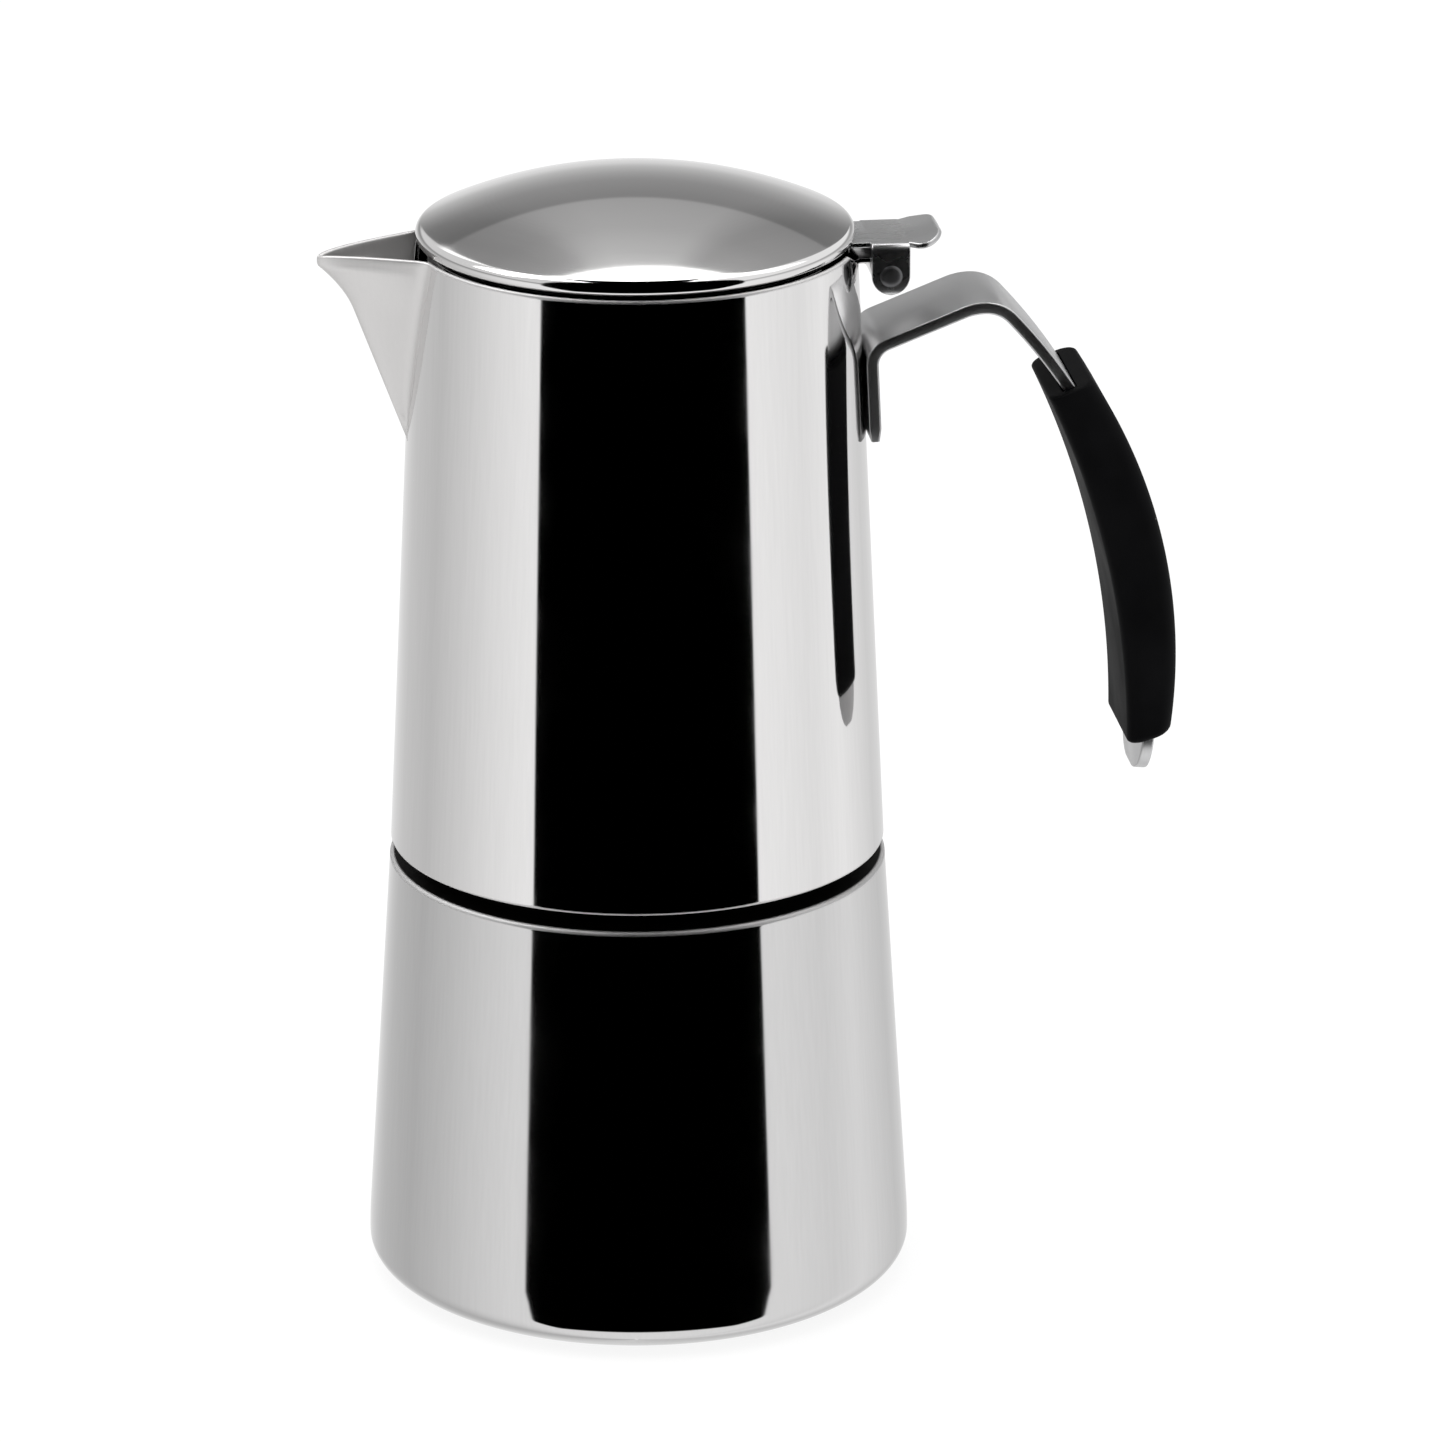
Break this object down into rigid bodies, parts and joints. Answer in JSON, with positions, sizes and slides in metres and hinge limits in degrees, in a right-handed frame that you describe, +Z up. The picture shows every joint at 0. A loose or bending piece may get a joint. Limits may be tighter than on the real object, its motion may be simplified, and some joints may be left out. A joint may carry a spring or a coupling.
{
  "type": "moka pot",
  "caption": "Steel stovetop espresso maker: tapering boiler with safety valve, screw-on collector with spout, hinged domed lid and strap handle with a black grip.",
  "frame": {"origin": "centre of the base, on the surface that the pot stands on", "axes": "+Z up the pot's axis, +X towards the handle, -X towards the spout, +Y towards the safety valve"},
  "size_m": [0.1541, 0.1067, 0.2074],
  "materials": {
    "polished_steel": "mirror-polished stainless steel sheet",
    "satin_steel": "satin stainless steel, brushed or plain pressed",
    "brass": "turned brass",
    "silicone": "pale food-grade silicone",
    "black_plastic": "moulded black heat-resistant plastic"
  },
  "bodies": {
    "boiler": {"boiler_shell": "polished_steel", "boiler_neck": "satin_steel", "valve_body": "brass", "valve_cap": "brass", "valve_washer": "silicone", "valve_nut": "brass", "funnel_cup": "satin_steel", "funnel_screen": "satin_steel", "funnel_stem": "satin_steel"},
    "valve_plunger": {"valve_poppet": "satin_steel", "valve_spring": "satin_steel"},
    "seal": {"gasket": "silicone"},
    "collector": {"filter_plate": "satin_steel", "collector_floor": "satin_steel", "collector_thread_ring": "satin_steel", "collector_shell": "polished_steel", "spout": "polished_steel", "column_tube": "satin_steel", "column_cap": "satin_steel", "hinge_bracket": "satin_steel", "handle_strap": "satin_steel", "handle_grip": "black_plastic"},
    "lid": {"hinge_pin": "satin_steel", "lid_dome": "polished_steel", "lid_ring": "polished_steel", "lid_lever": "polished_steel"}
  },
  "joints": [
    {"name": "collector_lift", "type": "slide", "parent": "boiler", "child": "seal", "axis": [0, 0, 1], "range_m": [0, 0.006]},
    {"name": "collector_turn", "type": "hinge", "parent": "seal", "child": "collector", "pos_m": [0, 0, 0.09], "axis": [0, 0, 1], "range_deg": [0, 540]},
    {"name": "lid_hinge", "type": "hinge", "parent": "collector", "child": "lid", "pos_m": [0.0448, 0, 0.1899], "axis": [0, 1, 0], "range_deg": [0, 70]},
    {"name": "valve_lift", "type": "slide", "parent": "boiler", "child": "valve_plunger", "axis": [0, 0.9979, 0.0651], "range_m": [0, 0.0008], "stiffness_N_per_m": 1000, "springref_m": -0.002}
  ],
  "couplings": [
    {"joint": "collector_lift", "follows": "collector_turn", "m_per_rad": 0.00063662}
  ]
}
